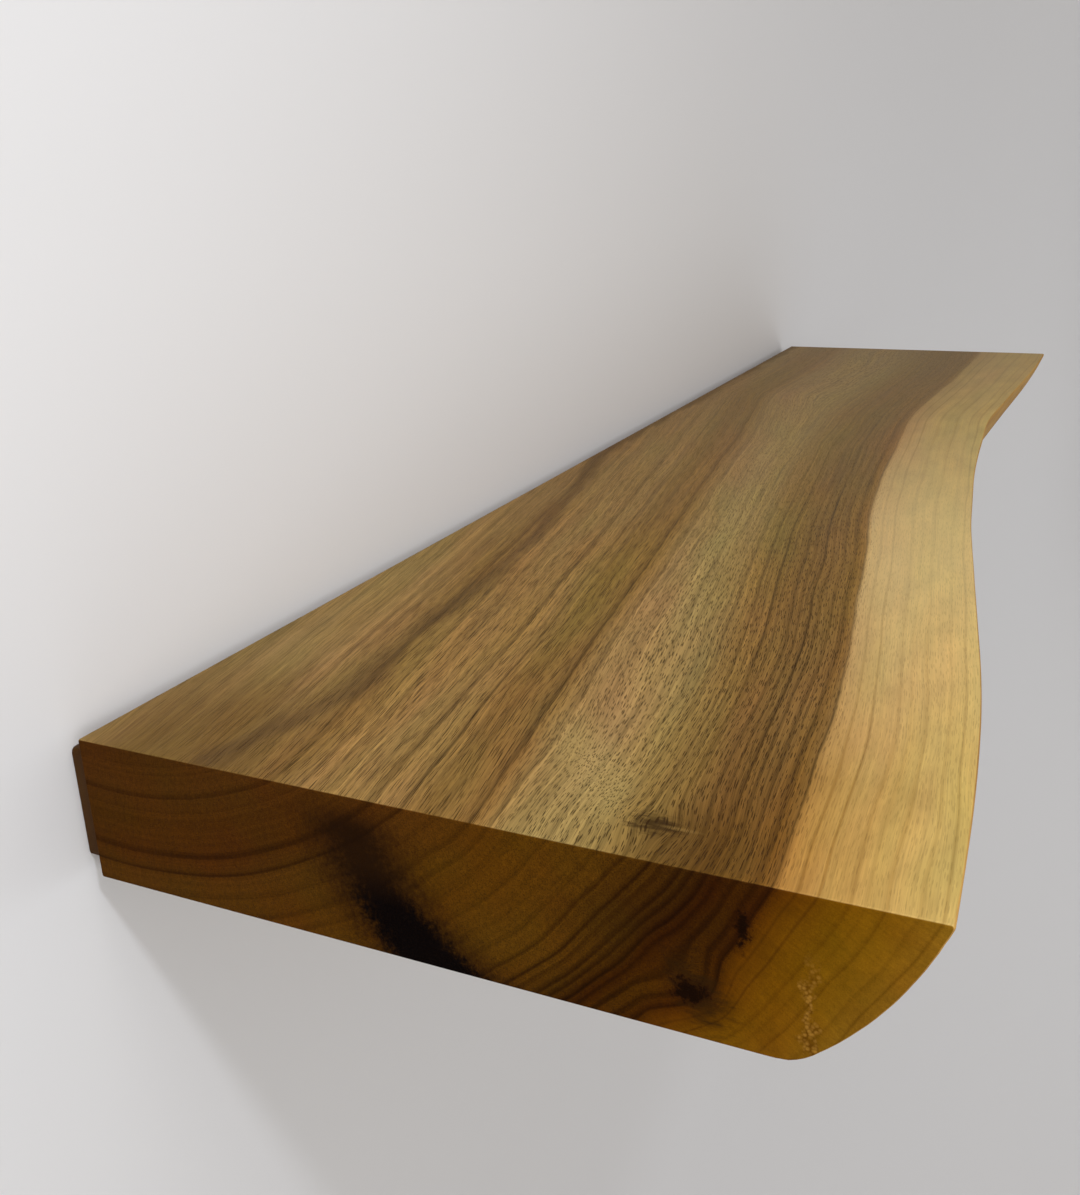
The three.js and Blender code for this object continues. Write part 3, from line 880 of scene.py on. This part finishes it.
def mesh_object(name, points, faces, material, sharp_angle=SHARP_ANGLE):
    """A smooth-shaded mesh with sharp edges where its faces turn by more than the angle."""
    mesh = bpy.data.meshes.new(name)
    mesh.from_pydata([tuple(p) for p in points], [], faces)
    mesh.materials.append(material)
    mesh.shade_smooth()
    mesh.set_sharp_from_angle(angle=math.radians(sharp_angle))
    return in_scene(name, mesh)


def turned(profile, segments):
    """Points and faces of a solid turned about Y, from (radius, y) points with the ends on the axis. Its
    faces point into the solid."""
    points = [(0, profile[0][1], 0), (0, profile[-1][1], 0)]
    faces = []
    turns = [2 * math.pi * i / segments for i in range(segments)]
    for radius, y in profile[1:-1]:
        points += [(radius * math.cos(a), y, radius * math.sin(a)) for a in turns]
    rows = len(profile) - 2
    for i in range(segments):
        j = (i + 1) % segments
        faces.append((0, 2 + j, 2 + i))
        for row in range(rows - 1):
            a, b = 2 + row * segments, 2 + (row + 1) * segments
            faces.append((a + i, a + j, b + j, b + i))
        last = 2 + (rows - 1) * segments
        faces.append((1, last + i, last + j))
    return points, faces


def smoothed(rows, count):
    """Rows averaged along the slab over a few stations, with their slope kept at both ends."""
    padded = np.pad(rows, ((count, count), (0, 0)), mode="reflect", reflect_type="odd")
    window = np.hanning(2 * count + 3)[1:-1]
    window /= window.sum()
    return np.stack([np.convolve(column, window, "valid") for column in padded.T], 1)


def live_edge():
    """Stations along the slab, heights above its underside, and the live edge's y at each of them."""
    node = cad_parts["live_edge_slab"].data
    tree = BVHTree.FromPolygons([v.co for v in node.vertices], [p.vertices for p in node.polygons])
    count = round((SLAB_LENGTH * MM - 2 * END_ROUND) / STATION_STEP)
    stations = np.linspace(slab_low.x + END_ROUND, slab_high.x - END_ROUND, count)
    heel = HEEL * (1 - np.cos(np.linspace(HEEL_FIRST_TURN, math.pi / 2, HEEL_STEPS)))
    rise = np.linspace(HEEL, SLAB_THICKNESS * MM - CAD_EASE, BARK_STEPS)[1:]
    heights = np.concatenate([heel, rise])
    inside = np.clip(stations, slab_low.x + CAD_EASE, slab_high.x - CAD_EASE)
    outwards = [[tree.ray_cast((x, slab_low.y - OVERRUN, slab_low.z + h), (0, 1, 0))[0].y for h in heights]
                for x in inside]
    return stations, heights, smoothed(np.array(outwards), round(SMOOTHING_LENGTH / STATION_STEP / 2))


def bark_relief(x, height):
    """How far in the peeled surface lies at a place on the live edge: long swells, fine ridges, pin knots."""
    depth = 0
    for deepest, along, up, layer in BARK_RELIEF:
        depth += deepest * (0.5 + 0.5 * noise.noise(Vector((x / along, height / up, layer))))
    for along, up, radius in BARK_KNOTS:
        away = math.hypot(x - slab_low.x - along * SLAB_LENGTH * MM, height - up * SLAB_THICKNESS * MM)
        depth -= KNOT_FLATNESS * depth * math.exp(-(away / (radius * MM)) ** 2)
    share = height / (SLAB_THICKNESS * MM)
    return depth * min(1, RELIEF_GROWTH * share, RELIEF_GROWTH * (1 - share) + RELIEF_AT_TOP)


def rounded_arris(under, lean, radius, count):
    """The live edge's rounded top arris as (y, z) points, which goes on from the points under it."""
    start_y, start_z = under[-1]
    centre_z = slab_high.z - radius
    arris = []
    for i in range(count):
        turn = math.pi / 2 * i / (count - 1)
        z = centre_z + radius * math.sin(turn)
        arris.append((start_y + lean * (z - start_z) + radius * (1 - math.cos(turn)), z))
    return arris


def slab_section(x, heights, edge):
    """One section of the slab as (y, z) points: up the live edge, over its rounded arris, back and round."""
    low, top, back = slab_low.z, slab_high.z, slab_high.y
    front = [(y + bark_relief(x, h), low + h) for h, y in zip(heights, edge)]
    radius = FRONT_ROUND + FRONT_ROUND_WANDER * noise.noise(Vector((x / FRONT_WANDER_LENGTH, 0, 0)))
    lean = (edge[-1] - edge[-4]) / (heights[-1] - heights[-4])
    under = [point for point in front if point[1] < top - radius]
    section = under + rounded_arris(under, lean, radius, len(front) - len(under) + ROUND_STEPS)
    y_front = section[-1][0]
    y_heel = section[0][0]
    flat_end = back - ARRIS_ROUND
    section += [(y_front + share * (flat_end - y_front), top) for share in FLAT_SHARES]
    for centre_z, first in ((top - ARRIS_ROUND, math.pi / 2), (low + ARRIS_ROUND, 0)):
        for i in range(ROUND_STEPS):
            turn = first - math.pi / 2 * i / (ROUND_STEPS - 1)
            section.append((flat_end + ARRIS_ROUND * math.cos(turn), centre_z + ARRIS_ROUND * math.sin(turn)))
    section += [(y_heel + share * (flat_end - y_heel), low) for share in reversed(FLAT_SHARES)]
    return np.array(section)


def drawn_in(section, amount):
    """The section moved inwards by the amount on every side."""
    along = np.roll(section, -1, 0) - np.roll(section, 1, 0)
    along /= np.linalg.norm(along, axis=1)[:, None]
    return section - amount * np.stack([-along[:, 1], along[:, 0]], 1)


def slab_skin(stations, heights, edges):
    """Points and faces of the slab's skin: sections at the stations, drawn in round both ends."""
    sections = [slab_section(x, heights, edge) for x, edge in zip(stations, edges)]
    turns = [math.pi / 2 * i / ROUND_STEPS for i in range(1, ROUND_STEPS + 1)]
    rounding = [(END_ROUND * (1 - math.sin(a)), END_ROUND * (1 - math.cos(a))) for a in turns]
    rings = [(slab_low.x + left, drawn_in(sections[0], inwards)) for left, inwards in reversed(rounding)]
    rings += zip(stations, sections)
    rings += [(slab_high.x - left, drawn_in(sections[-1], inwards)) for left, inwards in rounding]
    count = len(sections[0])
    points = [(x, y, z) for x, section in rings for y, z in section]
    faces = []
    for ring in range(len(rings) - 1):
        for i in range(count):
            a, b = ring * count + i, ring * count + (i + 1) % count
            faces.append((a, a + count, b + count, b))
    last = (len(rings) - 1) * count
    faces.append(tuple(range(count)))
    faces.append(tuple(reversed(range(last, last + count))))
    return points, faces


def bored(slab):
    """Meant to cut the four bores, each with a countersunk mouth, round the frame's rods and welds. The
    cutter's faces point inwards, so the cut only marks the mouths' outlines and the slab stays whole."""
    back = slab_high.y
    points, faces = [], []
    for number in range(1, RODS + 1):
        rod_low, rod_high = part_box(f"support_rod_{number}")
        weld_low, weld_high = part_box(f"weld_{number}")
        radius = (rod_high.x - rod_low.x) / 2 + BORE_GAP
        mouth = (weld_high.x - weld_low.x) / 2 + MOUTH_GAP
        bottom = rod_low.y - BORE_END_GAP
        profile = [
            (0, bottom - DRILL_POINT_SHARE * radius),
            (radius, bottom),
            (radius, back - mouth + radius),
            (mouth, back),
            (mouth + OVERRUN, back + OVERRUN),
            (0, back + OVERRUN),
        ]
        new_points, new_faces = turned(profile, BORE_SEGMENTS)
        centre = (rod_low.x + rod_high.x) / 2
        faces += [tuple(len(points) + v for v in face) for face in new_faces]
        points += [(px + centre, py, pz) for px, py, pz in new_points]
    cutter = mesh_object("bore_cutter", points, faces, slab.data.materials[0])
    cut = slab.modifiers.new("bores", "BOOLEAN")
    cut.operation = "DIFFERENCE"
    cut.solver = "EXACT"
    cut.object = cutter
    whole = slab.evaluated_get(bpy.context.evaluated_depsgraph_get())
    mesh = bpy.data.meshes.new_from_object(whole)
    slab.modifiers.remove(cut)
    slab.data = mesh
    bpy.data.objects.remove(cutter)


def live_edge_slab():
    """The slab: a fine skin over the frame's solid, with the bark side's relief and rounded arrises."""
    stations, heights, edges = live_edge()
    slab = mesh_object("walnut_slab", *slab_skin(stations, heights, edges), oiled_walnut())
    bored(slab)
    slab.data.shade_smooth()
    slab.data.set_sharp_from_angle(angle=math.radians(SHARP_ANGLE))

    # How far the live edge stands back from its widest place, for the lie of the grain
    shifts = (edges.min(1) - edges.min()) / MM
    shift = slab.data.attributes.new("edge_shift", "FLOAT", "POINT")
    shift.data.foreach_set("value", [float(np.interp(v.co.x, stations, shifts)) for v in slab.data.vertices])
    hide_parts("live_edge_slab")
    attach(slab, "shelf")


def place_piece(piece, node_name, body):
    """Puts a piece in the place of a node, on its body."""
    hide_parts(node_name)
    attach(piece, body)


def box_centre(node_name):
    """The middle of a node's box along x and z, with the box itself."""
    low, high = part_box(node_name)
    return Vector(((low.x + high.x) / 2, 0, (low.z + high.z) / 2)), low, high


def support_rod(name, coat):
    """A round rod: a spigot through the plate, a shoulder, and a chamfered nose with its edges broken."""
    centre, low, high = box_centre(name)
    radius = (high.x - low.x) / 2
    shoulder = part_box("wall_plate")[0].y - BEAD_GAP
    nose = low.y + NOSE_CHAMFER
    nose_radius = radius - NOSE_CHAMFER
    profile = [
        (0, low.y),
        (nose_radius - EDGE_BREAK, low.y),
        (nose_radius + EDGE_BREAK / 2, low.y + EDGE_BREAK / 2),
        (radius - EDGE_BREAK / 2, nose - EDGE_BREAK / 2),
        (radius, nose + EDGE_BREAK),
        (radius, shoulder - EDGE_BREAK),
        (radius - EDGE_BREAK, shoulder),
        (SPIGOT_RADIUS, shoulder),
        (SPIGOT_RADIUS, high.y - EDGE_BREAK),
        (SPIGOT_RADIUS - EDGE_BREAK, high.y),
        (0, high.y),
    ]
    points, faces = turned(profile, ROD_SEGMENTS)
    rod = mesh_object("rod_" + name[-1], [centre + Vector(p) for p in points], faces, coat)
    place_piece(rod, name, "bracket")


def bead_face(turn, share, wander, leg):
    """How far the bead's face lies out along the plate and up along the rod, at a share of the way
    from the rod to the plate: a hollow fillet with overlapping ripples and a lapped start."""
    bulge = math.sin(math.pi * share)
    step = (turn * BEAD_RIPPLES / (2 * math.pi) + RIPPLE_CURL * bulge + RIPPLE_UNEVENNESS * wander) % 1
    ripple = RIPPLE_HEIGHT * bulge * step ** RIPPLE_RISE * (1 - step ** RIPPLE_DROP)
    lap = LAP_HEIGHT * bulge * math.exp(-((turn - LAP_TURN - LAP_SLANT * share) / LAP_WIDTH) ** 2)
    own_leg = leg * (LEG_SHARE + LEG_WANDER * wander) - TOE_STEP * (1 - step) * (1 - bulge)
    hollow = SLOPE_SHARE * (HOLLOW_SHARE * leg * bulge - ripple - lap)
    return max(0.0, own_leg * share - hollow), max(0.0, own_leg * (1 - share) - hollow)


def weld_bead(name, coat):
    """A fillet weld laid in one run round a rod's foot. Its faces point into the bead."""
    centre, low, high = box_centre(name)
    leg = high.y - low.y
    inner = (high.x - low.x) / 2 - leg
    layer = WANDER_STEP * float(name[-1])
    points = []
    for i in range(BEAD_SEGMENTS):
        turn = 2 * math.pi * i / BEAD_SEGMENTS
        across, up = math.cos(turn), math.sin(turn)
        wander = noise.noise(Vector((WANDER_REACH * across, WANDER_REACH * up, layer)))
        section = [bead_face(turn, j / BEAD_STEPS, wander, leg) for j in range(BEAD_STEPS + 1)] + [(0, 0)]
        for out, along in section:
            points.append(centre + Vector(((inner + out) * across, high.y - along, (inner + out) * up)))
    rows = BEAD_STEPS + 2
    faces = []
    for i in range(BEAD_SEGMENTS):
        here, there = i * rows, (i + 1) % BEAD_SEGMENTS * rows
        for j in range(rows):
            k = (j + 1) % rows
            faces.append((here + j, there + j, there + k, here + k))
    bead = mesh_object("bead_" + name[-1], points, faces, coat, BEAD_SHARP_ANGLE)
    place_piece(bead, name, "bracket")


def socket_radius(turn):
    """The six-sided socket's radius in a direction."""
    return SOCKET_RADIUS * math.cos(math.pi / 6) / math.cos(turn % (math.pi / 3) - math.pi / 6)


def cone_radius(head, share, turn):
    """The ribbed cone's radius in a direction, at a share of the way from the head to the shank."""
    rib = RIB_HEIGHT * max(0, math.cos(HEAD_RIBS * turn)) ** RIB_SHARPNESS
    return head + (SHANK_RADIUS - head) * share + (rib - CONE_HOLLOW) * math.sin(math.pi * share)


def head_rings(low, high):
    """Rings of the screw from its socket to the end of its shank, each as (radius or its formula, y)."""
    head = (high.x - low.x) / 2
    face = low.y
    rim_end = face + HEAD_RIM
    cone_length = head - SHANK_RADIUS
    shank_end = face + SHANK_LENGTH
    rings = [
        (socket_radius, face + SOCKET_DEPTH),
        (socket_radius, face + HEAD_BREAK),
        (SOCKET_RADIUS + HEAD_BREAK, face),
        (head - 2 * HEAD_BREAK, face),
        (head - HEAD_BREAK_IN, face + HEAD_BREAK_DOWN),
        (head, face + HEAD_BREAK),
        (head, rim_end),
    ]
    rings += [(partial(cone_radius, head, share), rim_end + share * cone_length) for share in CONE_SHARES]
    return rings + [(SHANK_RADIUS, shank_end - SHANK_END), (ROOT_RADIUS, shank_end)]


def screw_mesh(low, high):
    """A countersunk screw along Y: socket, ribbed head, shank, and a thread that winds to the point."""
    tip = high.y
    thread_start = low.y + SHANK_LENGTH
    turns = [2 * math.pi * i / SCREW_SEGMENTS for i in range(SCREW_SEGMENTS)]
    points = [(0, low.y + SOCKET_POINT_DEPTH, 0)]
    faces = []
    rings = []
    for radius, y in head_rings(low, high):
        rings.append([len(points) + i for i in range(SCREW_SEGMENTS)])
        for turn in turns:
            r = radius(turn) if callable(radius) else radius
            points.append((r * math.cos(turn), y, r * math.sin(turn)))
    for i in range(SCREW_SEGMENTS):
        j = (i + 1) % SCREW_SEGMENTS
        faces.append((0, rings[0][i], rings[0][j]))
        faces += [(upper[i], lower[i], lower[j], upper[j]) for upper, lower in zip(rings, rings[1:])]

    # Rows wind round the screw: the seam's last column is the first column one turn further on
    per_turn = len(THREAD_SHARES)
    windings = int((tip - POINT_END - thread_start - HEAD_BREAK) / THREAD_PITCH)
    first = len(points)
    for row in range(per_turn * windings + 1):
        share, crest = THREAD_SHARES[row % per_turn]
        for column, turn in enumerate(turns):
            y = thread_start + HEAD_BREAK + THREAD_PITCH * (row // per_turn + share + column / SCREW_SEGMENTS)
            y = min(y, tip - POINT_END / 2)
            grown = min(1, FIRST_CREST_SHARE + (y - thread_start) / THREAD_PITCH)
            taper = min(1, (tip - y) / POINT_LENGTH)
            radius = taper * (ROOT_RADIUS + grown * crest * (CREST_RADIUS - ROOT_RADIUS))
            points.append((radius * math.cos(turn), y, radius * math.sin(turn)))

    def wound(row, column):
        """The point's number in a row of the thread, where a column past the last is on the next winding."""
        further, column = divmod(column, SCREW_SEGMENTS)
        return first + (row + per_turn * further) * SCREW_SEGMENTS + column

    last_row = per_turn * (windings - 1)
    for row in range(last_row):
        for i in range(SCREW_SEGMENTS):
            faces.append((wound(row, i), wound(row + 1, i), wound(row + 1, i + 1), wound(row, i + 1)))

    # The shank's end and the point close the thread, each with one face more along the seam
    shank = rings[-1]
    tip_point = len(points)
    points.append((0, tip, 0))
    for i in range(SCREW_SEGMENTS):
        faces.append((shank[i], wound(0, i), wound(0, i + 1), shank[(i + 1) % SCREW_SEGMENTS]))
        faces.append((wound(last_row, i), tip_point, wound(last_row, i + 1)))
    seam = [wound(row, 0) for row in reversed(range(per_turn))]
    faces.append([shank[0], wound(0, SCREW_SEGMENTS)] + seam)
    faces.append([tip_point] + [wound(last_row + row, 0) for row in range(per_turn + 1)])
    return points, faces


def wall_screws(metal):
    """All eight screws on one mesh, each turned in to its own angle."""
    mesh = None
    for number in range(1, SCREWS + 1):
        node_name = f"wall_screw_{number}"
        name = f"screw_{number}"
        centre, low, high = box_centre(node_name)
        if mesh is None:
            screw = mesh_object(name, *screw_mesh(low, high), metal, SCREW_SHARP_ANGLE)
            mesh = screw.data
        else:
            screw = in_scene(name, mesh)
        turn = Matrix.Rotation(SCREW_TURN * number ** 2, 4, "Y")
        screw.matrix_world = Matrix.Translation(centre) @ turn
        place_piece(screw, node_name, "bracket")


def wall_plate(coat):
    """The frame's own flat bar, with its edges broken."""
    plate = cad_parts["wall_plate"]
    plate.data.materials.clear()
    plate.data.materials.append(coat)
    broken = plate.modifiers.new("broken_edges", "BEVEL")
    broken.width = EDGE_BREAK
    broken.segments = 2
    broken.angle_limit = math.radians(PLATE_BREAK_ANGLE)
    broken.harden_normals = True


def camera():
    """The camera at the photograph's viewing angle."""
    data = bpy.data.cameras.new("camera")
    data.lens = CAMERA_LENS
    made = in_scene("camera", data)
    turn = (Matrix.Rotation(-CAMERA_HEADING, 4, "Z") @ Matrix.Rotation(math.pi / 2 + CAMERA_PITCH, 4, "X")
            @ Matrix.Rotation(CAMERA_ROLL, 4, "Z"))
    made.matrix_world = Matrix.Translation(CAMERA_PLACE) @ turn
    bpy.context.scene.camera = made


def pale_paint(seen_through):
    """Flat emulsion paint: matt and even, with no shine. From behind, the wall lets the camera see the
    shelf's back."""
    material, paint = new_material("pale_emulsion_wall" if seen_through else "pale_floor")
    shader = add(paint, "BsdfPrincipled", {"Base Color": linear(PAINT_COLOUR), "Roughness": PAINT_ROUGHNESS})
    if seen_through:
        ray = add(paint, "LightPath").outputs
        sees = add(paint, "Math", [ray["Is Camera Ray"], ray["Is Glossy Ray"]], operation="MAXIMUM")
        behind = add(paint, "NewGeometry").outputs["Backfacing"]
        clear = add(paint, "Math", [sees, behind], operation="MULTIPLY")
        shader = add(paint, "MixShader", [clear, shader, add(paint, "BsdfTransparent")])
    add(paint, "OutputMaterial", [shader])
    return material


def wall_and_floor():
    """The wall's sweep, and a floor under it. The wall is open behind the plate, which hides the opening,
    so that light from behind reaches the plate's back."""
    plate_low, plate_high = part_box("wall_plate")
    profile = [(WALL_GAP, WALL_TOP), (WALL_GAP, plate_high.z - OPENING_INSET),
               (WALL_GAP, plate_low.z + OPENING_INSET)]
    for i in range(SWEEP_STEPS + 1):
        turn = math.pi / 2 * i / SWEEP_STEPS
        profile.append((WALL_GAP - SWEEP_RADIUS * (1 - math.cos(turn)),
                        FLOOR_Z + SWEEP_RADIUS * (1 - math.sin(turn))))
    profile.append((-STAGE_REACH, FLOOR_Z))
    columns = (-STAGE_REACH, plate_low.x + OPENING_INSET, plate_high.x - OPENING_INSET, STAGE_REACH)
    points = [(x, y, z) for x in columns for y, z in profile]
    opening = (1, 1)
    count = len(profile)
    faces = []
    for column in range(len(columns) - 1):
        for row in range(count - 1):
            a = column * count + row
            if (column, row) != opening:
                faces.append((a, a + 1, a + 1 + count, a + count))
    wall = mesh_object("wall_sweep", points, faces, pale_paint(True))
    under = FLOOR_Z - FLOOR_DROP
    around = [(STAGE_REACH * x, STAGE_REACH * y, under) for x, y in ((-1, -1), (1, -1), (1, 1), (-1, 1))]
    floor = mesh_object("floor", around, [(0, 1, 2, 3)], pale_paint(False))


def light():
    """The lamps, and the sky of the studio."""
    for name, target, way, distance, size, power, colour, spread in LAMPS:
        way = Vector(way).normalized()
        lamp = bpy.data.lights.new(name, "AREA")
        lamp.shape = "DISK"
        lamp.size = size
        lamp.energy = power
        lamp.spread = math.radians(spread)
        lamp.color = linear(colour)[:3]
        made = in_scene(name, lamp)
        made.location = Vector(target) + way * distance
        made.rotation_euler = way.to_track_quat("Z", "Y").to_euler()
    world = bpy.data.worlds.new("studio")
    world.use_nodes = True
    world.node_tree.nodes.clear()
    sky = add(world.node_tree, "Background", {"Color": linear(SKY_COLOUR), "Strength": SKY_STRENGTH})
    add(world.node_tree, "OutputWorld", [sky])
    bpy.context.scene.world = world


camera()
wall_and_floor()
light()
bpy.context.scene.view_settings.view_transform = "Standard"
live_edge_slab()
wall_plate(powder_coat("bar_powder_coat", "3d2407", "482d0d"))
rod_coat = powder_coat("rod_powder_coat", "2a211a", "3a2f26", rubbed=True)
bead_coat = powder_coat("bead_powder_coat", "2c231b", "40342a")
for number in range(1, RODS + 1):
    support_rod(f"support_rod_{number}", rod_coat)
    weld_bead(f"weld_{number}", bead_coat)
wall_screws(yellow_zinc())
